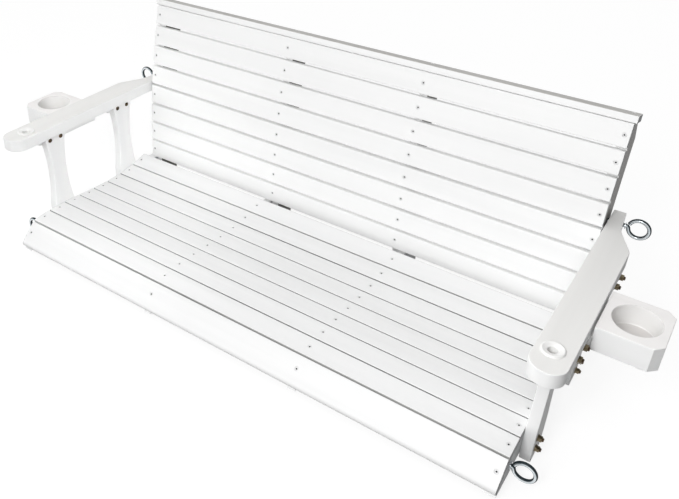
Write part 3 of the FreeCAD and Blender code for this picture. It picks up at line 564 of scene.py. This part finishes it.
def drill_out(piece, group):
    """Cuts the countersunk mouths of a group of screws out of a board."""
    bm = bmesh.new()
    for matrix, _ in screw_places(group):
        turned(bm, matrix, [(MOUTH_RADIUS, -MOUTH_DEPTH), (MOUTH_RADIUS, MOUTH_ABOVE)], SCREW_STEPS)
    drill = mesh_object("drill", bm, [])
    holes = piece.modifiers.new("holes", "BOOLEAN")
    holes.operation = "DIFFERENCE"
    holes.object = drill
    depsgraph = bpy.context.evaluated_depsgraph_get()
    bored = bpy.data.meshes.new_from_object(piece.evaluated_get(depsgraph))
    piece.modifiers.clear()
    piece.data = bored
    bpy.data.objects.remove(drill)


def add_piece(name, bm, materials, slot, *replaced, screws_in=None):
    """Makes the mesh an object that stands for nodes of the model."""
    piece = mesh_object(name, bm, materials)
    if screws_in:
        drill_out(piece, screws_in)
    for face in piece.data.polygons:
        face.use_smooth = True
    piece.data.set_sharp_from_angle(angle=math.radians(SHARP_DEGREES))
    weighted = piece.modifiers.new("face_normals", "WEIGHTED_NORMAL")
    weighted.keep_sharp = True
    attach(piece, "root")
    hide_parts(*replaced)


# boards

def strip_board(name, facing, front_radius, rear_radius, materials, group, shaded, special=None):
    """Long board: its section along X with eased edges, and the holes of a group of screws.

    facing is the way its wide front looks in the section. shaded tells from the way that a side
    looks whether it takes the edge tone, a painted shade. special is a test for a corner, seen from
    the middle, and the radius of the corners that pass.
    """
    loop = outlines(name, "X")[0]
    middle = sum(loop, Vector((0, 0))) / len(loop)
    start, stop = max(sides(loop), key=lambda pair: (pair[1] - pair[0]).length)
    outward = left_of(stop - start)
    if outward.dot(Vector(facing)) < 0:
        outward = -outward

    def radius_at(corner):
        if special and special[0](corner - middle):
            return special[1]
        return front_radius if (corner - middle).dot(outward) > 0 else rear_radius

    points = eased_corners(loop, radius_at)
    sign = math.copysign(1, sum(a.cross(b) for a, b in sides(points)))
    marks = [shaded(-sign * left_of(b - a)) for a, b in sides(points)]
    bm = bmesh.new()
    plate(bm, "X", *reach_of(name, "X"), [points], END_EASE, END_STEPS, marks, EDGE, END)
    add_piece(name + "_board", bm, materials, "white_wood", name, screws_in=group)


def plate_board(name, axis, ease, material, holes=0):
    """Board cut from even stock, with as many of its widest holes as show."""
    loops = outlines(name, axis, upper=False)
    bm = bmesh.new()
    plate(bm, axis, *reach_of(name, axis), loops[:1 + holes], ease)
    add_piece(name + "_board", bm, [material], "white_wood", name)


def cup_holder(name):
    """Block with a round blind well, and the tongue by which it is screwed under the arm."""
    outer, well = outlines(name, "Z")[:2]
    base = outlines(name, "Z", upper=False)[0]
    low, high = reach_of(name, "Z")
    inner = min(abs(point.x) for point in base)
    split = min(abs(point.x) for point in outer) + CUP_EASE
    near, far = min(point.y for point in base), max(point.y for point in base)
    tongue = [Vector(place) for place in ((inner, near), (split, near), (split, far), (inner, far))]
    if outer[0].x < 0:
        tongue = [Vector((-point.x, point.y)) for point in reversed(tongue)]
    bm = bmesh.new()
    plate(bm, "Z", low, high, [outer], CUP_EASE, wells=[(well, high - WELL_DEPTH)])
    arm_underside = reach_of("arm_right", "Z")[0]
    plate(bm, "Z", low, arm_underside - TONGUE_GAP, [tongue], TONGUE_EASE)
    add_piece(name + "_block", bm, [block_paint, well_shade_paint], "white_wood", name)


# fasteners

# how far the first nut is turned, and each nut and screw from the one before, in radians
NUT_FIRST_TURN, NUT_NEXT_TURN, SCREW_NEXT_TURN = 0.5, 1.1, 1.7
# half the turn of one side of a hexagon, and the share of its width that bears flat
HALF_SIDE_TURN, BEARING_SHARE, NUT_CHAMFER_SLOPE = math.pi / 6, 0.95, 0.5
# depth of the ridge as a share of the pitch
THREAD_DEPTH_SHARE, THREAD_RINGS_PER_PITCH, THREAD_CHAMFER_SLOPE = 0.55, 4, 0.9
# a screw's recess: its lobes, their middle radius and swing, and its floor, as shares of its radius
LOBES, LOBE_MIDDLE, LOBE_SWING, RECESS_TAPER = 6, 0.86, 0.14, 0.9


def turns_of(steps):
    """Even turns round a circle."""
    return [2 * math.pi * k / steps for k in range(steps)]


def ring_at(bm, matrix, radius, level, steps):
    """Ring about the matrix's Z axis; radius and level may be functions of the turn."""
    size = radius if callable(radius) else (lambda turn: radius)
    height = level if callable(level) else (lambda turn: level)
    return [bm.verts.new(matrix @ Vector((size(a) * math.cos(a), size(a) * math.sin(a), height(a))))
            for a in turns_of(steps)]


def tube(bm, rings, finish=FACE):
    """Closed solid through a row of rings."""
    for lower, upper in zip(rings, rings[1:]):
        band(bm, lower, upper, finish)
    cover(bm, [rings[0]], finish)
    cover(bm, [rings[-1]], finish)


def turned(bm, matrix, profile, steps):
    """Solid of revolution from pairs of radius and level."""
    tube(bm, [ring_at(bm, matrix, radius, level, steps) for radius, level in profile])


def turned_ring(bm, matrix, profile, steps):
    """Solid of revolution with a bore: the profile goes round back to its first pair."""
    rings = [ring_at(bm, matrix, radius, level, steps) for radius, level in profile]
    for lower, upper in sides(rings):
        band(bm, lower, upper)


def thread(bm, matrix, radius, low, high, steps=THREAD_STEPS):
    """Threaded rod with a real helical ridge, chamfered at its upper end."""
    count = max(2, int((high - low) / THREAD_PITCH * THREAD_RINGS_PER_PITCH))

    def ridge(level):
        def size(turn):
            phase = (level / THREAD_PITCH - turn / (2 * math.pi)) % 1
            shaded_top = max(0.0, level - (high - THREAD_CHAMFER)) * THREAD_CHAMFER_SLOPE
            return radius - THREAD_PITCH * THREAD_DEPTH_SHARE * abs(2 * phase - 1) - shaded_top
        return size

    levels = [low + (high - low) * k / count for k in range(count + 1)]
    tube(bm, [ring_at(bm, matrix, ridge(level), level, steps) for level in levels])


def hex_nut(bm, matrix, height):
    """Hexagonal nut, both faces chamfered round."""
    flat = NUT_RADIUS * math.cos(HALF_SIDE_TURN)
    bearing = flat * BEARING_SHARE

    def hexagon(turn):
        return flat / math.cos(turn % (2 * HALF_SIDE_TURN) - HALF_SIDE_TURN)

    def lower_edge(turn):
        return (hexagon(turn) - bearing) * NUT_CHAMFER_SLOPE

    def upper_edge(turn):
        return height - lower_edge(turn)

    turned_ring(bm, matrix, [(BOLT_RADIUS, 0), (bearing, 0), (hexagon, lower_edge),
                             (hexagon, upper_edge), (bearing, height),
                             (BOLT_RADIUS + NUT_BORE_CHAMFER, height),
                             (BOLT_RADIUS, height - NUT_BORE_CHAMFER)], NUT_STEPS)


def x_frame(points, outward):
    """Frame of a piece that lies along X, and its length.

    Its Z axis points away from the middle of the seat, or to it.
    """
    low, high = points.min(axis=0), points.max(axis=0)
    side = math.copysign(1, low[0] + high[0])
    way = side if outward else -side
    start = low[0] if way > 0 else high[0]
    turn = Matrix.Rotation(math.pi / 2 * way, 4, "Y")
    place = Matrix.Translation((start, (low[1] + high[1]) / 2, (low[2] + high[2]) / 2))
    return place @ turn, high[0] - low[0]


def nuts(name, material, slot, outward):
    """Hexagonal nuts, each turned a little further than the one before."""
    bm = bmesh.new()
    for number, points in enumerate(solids_of(name)):
        matrix, height = x_frame(points, outward)
        turn = Matrix.Rotation(NUT_FIRST_TURN + number * NUT_NEXT_TURN, 4, "Z")
        hex_nut(bm, matrix @ turn, height)
    add_piece(name + "_detail", bm, [material], slot, name)


def washers(name, material, slot):
    """Flat washers with a rounded rim."""
    bore, rim = BOLT_RADIUS + WASHER_PLAY, WASHER_RADIUS - WASHER_EASE
    bm = bmesh.new()
    for points in solids_of(name):
        matrix, height = x_frame(points, True)
        turned_ring(bm, matrix, [(bore, 0), (rim, 0), (WASHER_RADIUS, WASHER_EASE),
                                 (WASHER_RADIUS, height - WASHER_EASE), (rim, height),
                                 (bore, height)], WASHER_STEPS)
    add_piece(name + "_detail", bm, [material], slot, name)


def bolts(name, material, slot):
    """Bolts with domed heads on the inside and a threaded end outside."""
    bm = bmesh.new()
    for points in solids_of(name):
        matrix, length = x_frame(points, True)
        shank_end = length - BOLT_THREAD
        shank = [(BOLT_RADIUS, BOLT_HEAD_HEIGHT), (BOLT_RADIUS, shank_end)]
        turned(bm, matrix, BOLT_HEAD + shank, BOLT_STEPS)
        thread(bm, matrix, BOLT_RADIUS, shank_end, length)
    add_piece(name + "_detail", bm, [material], slot, name)


def screw_places(name):
    """Frame and length of each screw: its origin on the head, its Z axis out of the wood."""
    places = []
    for number, points in enumerate(solids_of(name)):
        centre = points.mean(axis=0)
        way = Vector(np.linalg.svd(points - centre, full_matrices=False)[2][0])
        along = (points - centre) @ np.array(way)
        wide = np.linalg.norm(points - centre - np.outer(along, way), axis=1)
        if along[wide.argmax()] < 0:
            way, along = -way, -along
        matrix = Matrix.Translation(Vector(centre) + way * along.max())
        matrix = matrix @ way.to_track_quat("Z", "Y").to_matrix().to_4x4()
        turn = Matrix.Rotation(number * SCREW_NEXT_TURN, 4, "Z")
        places.append((matrix @ turn, along.max() - along.min()))
    return places


def screws(name, materials):
    """Painted countersunk heads with a six-lobed recess, and a pointed shank."""
    def lobed(turn):
        return RECESS_RADIUS * (LOBE_MIDDLE + LOBE_SWING * math.cos(LOBES * turn))

    def lobed_floor(turn):
        return lobed(turn) * RECESS_TAPER

    head = [(SCREW_RADIUS, -SCREW_HEAD_HEIGHT)]
    head += [(SCREW_HEAD_RADIUS - inset, level) for inset, level in SCREW_RIM]
    head += [(lobed, 0)]
    bm = bmesh.new()
    for matrix, length in screw_places(name):
        rings = [ring_at(bm, matrix, radius, level, SCREW_STEPS) for radius, level in head]
        for lower, upper in zip(rings, rings[1:]):
            band(bm, lower, upper, HEAD)
        floor = ring_at(bm, matrix, lobed_floor, -RECESS_DEPTH, SCREW_STEPS)
        band(bm, rings[-1], floor, RECESS)
        cover(bm, [floor], RECESS)
        shank, point = [ring_at(bm, matrix, radius, level, SCREW_STEPS) for radius, level in
                        ((SCREW_RADIUS, SCREW_POINT_LENGTH - length),
                         (SCREW_POINT_RADIUS, -length))]
        band(bm, rings[0], shank, SHANK)
        band(bm, shank, point, SHANK)
        cover(bm, [point], SHANK)
    add_piece(name + "_detail", bm, materials, "screw_steel", name)


def at_angle(angle):
    """Unit vector in the plane at an angle."""
    return Vector((math.cos(angle), math.sin(angle)))


def eye_path(centre, side, start):
    """Middle line of the bent wire, from its inner end round the loop to its free end."""
    loop = EYE_RADIUS - WIRE_RADIUS
    join = math.asin(EYE_BEND / (loop + EYE_BEND))
    corner = Vector((-(loop + EYE_BEND) * math.cos(join), 0))
    bend_centre = corner - Vector((0, EYE_BEND))
    points = [Vector((start, 0)), corner]
    for k in range(1, WIRE_BEND_STEPS + 1):
        angle = math.pi / 2 - (math.pi / 2 - join) * k / WIRE_BEND_STEPS
        points.append(bend_centre + at_angle(angle) * EYE_BEND)
    first, last = math.pi + join, math.radians(EYE_END_DEGREES + 360)
    for k in range(1, WIRE_LOOP_STEPS + 1):
        points.append(at_angle(first + (last - first) * k / WIRE_LOOP_STEPS) * loop)
    return [Vector((centre.x + side * point.x, centre.y, centre.z + point.y)) for point in points]


def wire_ring(bm, place, way, radius):
    """Ring round the middle line of the bent wire, which lies square to Y."""
    across = Vector((0, 1, 0))
    inside = way.cross(across)
    return [bm.verts.new(place + (inside * math.cos(a) + across * math.sin(a)) * radius)
            for a in turns_of(WIRE_STEPS)]


def eye_bolt(name):
    """Bent wire eye with its threaded shank."""
    low, high = (Vector(corner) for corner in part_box(name))
    side = math.copysign(1, low.x)
    tip, inner = (high.x, low.x) if side > 0 else (low.x, high.x)
    centre = Vector((tip - side * EYE_RADIUS, (low.y + high.y) / 2, (low.z + high.z) / 2))
    path = eye_path(centre, side, (inner + side * EYE_THREAD - centre.x) * side)
    bm = bmesh.new()
    rings = []
    for k, place in enumerate(path):
        way = (path[min(k + 1, len(path) - 1)] - path[max(k - 1, 0)]).normalized()
        rings.append(wire_ring(bm, place, way, WIRE_RADIUS))
    way = (path[-1] - path[-2]).normalized()
    rings.append(wire_ring(bm, path[-1] + way * WIRE_TIP_LENGTH, way, WIRE_RADIUS * WIRE_TIP_SHARE))
    tube(bm, rings)
    length = EYE_THREAD + EYE_THREAD_OVERLAP
    matrix = Matrix.Translation((inner + side * length, centre.y, centre.z))
    matrix = matrix @ Matrix.Rotation(-side * math.pi / 2, 4, "Y")
    thread(bm, matrix, WIRE_RADIUS, 0, length, steps=WIRE_STEPS)
    add_piece(name + "_wire", bm, [wire_zinc], "zinc_steel", name)


def bushing(name):
    """Moulded bushing: dished flange, rounded rim and a through bore."""
    low, high = (Vector(corner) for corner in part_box(name))
    rise = high.z - BUSHING_FLANGE_HEIGHT
    foot = low.z - rise
    barrel = [(BUSHING_BORE, foot), (BUSHING_BARREL - BUSHING_BARREL_EASE, foot),
              (BUSHING_BARREL, foot + BUSHING_BARREL_EASE), (BUSHING_BARREL, 0)]
    matrix = Matrix.Translation(((low.x + high.x) / 2, (low.y + high.y) / 2, rise))
    bm = bmesh.new()
    turned_ring(bm, matrix, barrel + BUSHING_FLANGE, BUSHING_STEPS)
    add_piece(name + "_moulding", bm, [bushing_plastic], "white_plastic", name)


# the object

# ways in a long board's section: x to the rear, y up
UP, FRONT = (0, 1), (-1, 0)
# how far a side has to look some way, of 1
SQUARELY, STEEPLY, PARTLY = 0.9, 0.55, 0.2
SLATS = 8


def seat_seam(way):
    """The front side of a seat slat, which takes painted shade in the seam."""
    return way.x < -SQUARELY


def last_seam(way):
    """As seat_seam, and the rear upper edge, which takes painted shade beside the back."""
    return seat_seam(way) or (way.x > PARTLY and way.y > PARTLY)


def back_line(way):
    """The upper front edge of a back slat, which takes a thin line of painted shade."""
    return way.x < -PARTLY and way.y > STEEPLY


def unshaded(way):
    """No side at all."""
    return False


def upper_front(corner):
    """The upper front corners of a section."""
    return corner.x < 0 and corner.y > 0


seat_finishes = [slat_paint, seam_shade_paint, slat_ends]
end_finishes = [slat_paint, first_seam_shade_paint, slat_ends]
back_finishes = [back_paint, back_edge_shade_paint, slat_ends]
cap_finishes = [cap_paint, back_edge_shade_paint, slat_ends]
for number in range(1, SLATS + 1):
    strip_board(f"seat_slat_{number}", UP, SLAT_FRONT_EASE, SLAT_REAR_EASE,
                end_finishes if number in (1, SLATS) else seat_finishes, "seat_screws",
                last_seam if number == SLATS else seat_seam,
                (upper_front, FIRST_SLAT_EASE) if number == 1 else None)
    strip_board(f"back_slat_{number}", FRONT, SLAT_FRONT_EASE, BACK_REAR_EASE, back_finishes,
                "back_screws", back_line)
strip_board("nose_board", FRONT, SLAT_REAR_EASE, SLAT_REAR_EASE, seat_finishes, "seat_screws",
            unshaded)
strip_board("back_cap_rail", FRONT, SLAT_REAR_EASE, SLAT_REAR_EASE, cap_finishes, "cap_screws",
            unshaded)
for word in ("left", "right"):
    plate_board(f"arm_{word}", "Z", ARM_EASE, arm_paint, holes=1)
    cup_holder(f"cup_holder_{word}")
    bushing(f"chain_bushing_{word}")
    for end in ("front", "rear"):
        plate_board(f"arm_post_{end}_{word}", "X", POST_EASE, post_paint)
        plate_board(f"arm_block_{end}_{word}", "X", POST_EASE, post_paint)
        eye_bolt(f"eye_bolt_{end}_{word}")
    for place in ("end", "inner"):
        dress(nodes[f"seat_rail_{place}_{word}"], rail_paint)
        dress(nodes[f"back_upright_{place}_{word}"], upright_paint)
for group in ("post_upper", "post_lower", "back_joint"):
    bolts(group + "_bolts", bolt_bronze, "brassy_steel")
    washers(group + "_washers", brass_zinc, "brassy_steel")
    nuts(group + "_nuts", brass_zinc, "brassy_steel", True)
nuts("eye_bolt_nuts", zinc, "zinc_steel", False)
washers("eye_bolt_washers", zinc, "zinc_steel")
for group in ("seat", "back", "cap", "arm_block", "cup_holder"):
    screws(group + "_screws", [screw_paint, recess_shade, screw_metal])


# stage

WHITE = (1, 1, 1, 1)
# soft fill of the room, the share that it loses at the far right, and the power of its fall
FILL, RIGHT_CUT, FILL_POWER = 0.93, 1.0, 2
FLOOR_GREY, FLOOR_GLOW = 0.2, 0.85
FLOOR_SIZE, FLOOR_LEVEL = 40, -0.0005


def seen_or_mirrored(tree):
    """1 for rays from the camera, off a glossy face or through a clear one, else 0."""
    path = tree.nodes.new("ShaderNodeLightPath")
    most = path.outputs["Is Camera Ray"]
    for name in ("Is Glossy Ray", "Is Transmission Ray"):
        most = calculated(tree, "MAXIMUM", most, path.outputs[name])
    return most


def fill_strength(tree):
    """Even fill that falls off toward the right of the room."""
    place = tree.nodes.new("ShaderNodeTexCoord")
    parts = tree.nodes.new("ShaderNodeSeparateXYZ")
    give(tree, parts.inputs[0], place.outputs["Generated"])
    rightward = calculated(tree, "MAXIMUM", parts.outputs["X"], 0)
    lost = calculated(tree, "MULTIPLY", rightward, RIGHT_CUT)
    kept = calculated(tree, "POWER", calculated(tree, "SUBTRACT", 1, lost), FILL_POWER)
    return calculated(tree, "MULTIPLY", kept, FILL)


def joined(tree, kind, *values):
    """Shader node that takes its inputs in order."""
    item = tree.nodes.new(kind)
    for socket, value in zip(item.inputs, values):
        give(tree, socket, value)
    return item.outputs[0]


def make_world():
    """White to the camera and in reflections, a soft fill for the rest."""
    world = bpy.data.worlds.new("studio")
    bpy.context.scene.world = world
    world.use_nodes = True
    tree = world.node_tree
    tree.nodes.clear()
    soft = added(tree, "ShaderNodeBackground", Color=WHITE, Strength=fill_strength(tree))
    plain = added(tree, "ShaderNodeBackground", Color=WHITE, Strength=1.0)
    both = joined(tree, "ShaderNodeMixShader", seen_or_mirrored(tree), soft.outputs[0],
                  plain.outputs[0])
    added(tree, "ShaderNodeOutputWorld", Surface=both)


def make_floor():
    """Grey paper that takes soft shadows and glows white to the camera."""
    bpy.ops.mesh.primitive_plane_add(size=FLOOR_SIZE, location=(0, 0, FLOOR_LEVEL))
    floor = bpy.context.object
    floor.name = "floor"
    material = bpy.data.materials.new("floor_paper")
    material.use_nodes = True
    tree = material.node_tree
    tree.nodes.clear()
    grey = (FLOOR_GREY, FLOOR_GREY, FLOOR_GREY, 1)
    matte = added(tree, "ShaderNodeBsdfDiffuse", Color=grey)
    strength = calculated(tree, "MULTIPLY", seen_or_mirrored(tree), FLOOR_GLOW)
    glow = added(tree, "ShaderNodeEmission", Color=WHITE, Strength=strength)
    both = joined(tree, "ShaderNodeAddShader", matte.outputs[0], glow.outputs[0])
    added(tree, "ShaderNodeOutputMaterial", Surface=both)
    dress(floor, material)


def area_lamp(name, place, aim, width, height, power, spread=180):
    """Rectangular lamp in watts, its beam's spread in degrees."""
    data = bpy.data.lights.new(name, "AREA")
    data.shape = "RECTANGLE"
    data.size, data.size_y = width, height
    data.energy = power
    data.spread = math.radians(spread)
    lamp = bpy.data.objects.new(name, data)
    bpy.context.scene.collection.objects.link(lamp)
    lamp.location = place
    lamp.rotation_euler = (Vector(aim) - Vector(place)).to_track_quat("-Z", "Y").to_euler()


def make_camera():
    """Camera of the photograph."""
    data = bpy.data.cameras.new("camera")
    data.sensor_width = SENSOR_WIDTH
    data.lens = FOCAL_PIXELS * SENSOR_WIDTH / PHOTO_WIDTH
    data.shift_x = (PHOTO_WIDTH / 2 - CENTRE_COLUMN) / PHOTO_WIDTH
    data.shift_y = -(PHOTO_HEIGHT / 2 - CENTRE_ROW) / PHOTO_WIDTH
    data.clip_start = CLIP_START
    camera = bpy.data.objects.new("camera", data)
    bpy.context.scene.collection.objects.link(camera)
    turn = Matrix.Rotation(math.radians(CAMERA_AZIMUTH), 3, "Z")
    turn = turn @ Matrix.Rotation(math.radians(90 - CAMERA_DOWN), 3, "X")
    turn = turn @ Matrix.Rotation(math.radians(CAMERA_ROLL), 3, "Z")
    camera.rotation_mode = "QUATERNION"
    camera.rotation_quaternion = turn.to_quaternion()
    camera.location = FRONT_SEAM + CAMERA_FROM_SEAM
    bpy.context.scene.camera = camera


make_world()
make_floor()
area_lamp("front_softbox", place=(0.4, -1.8, 1.5), aim=(-0.1, 0, 0.2),
          width=0.5, height=0.8, power=25.5)
area_lamp("left_fill", place=(0.45, -0.8, 0.85), aim=(-0.62, -0.03, 0.17),
          width=0.3, height=0.3, power=0.33, spread=40)
area_lamp("right_fill", place=(0.80, -1.15, 0.9), aim=(0.72, -0.06, 0.27),
          width=0.3, height=0.3, power=0.03, spread=22)
make_camera()
bpy.context.scene.view_settings.view_transform = "Standard"
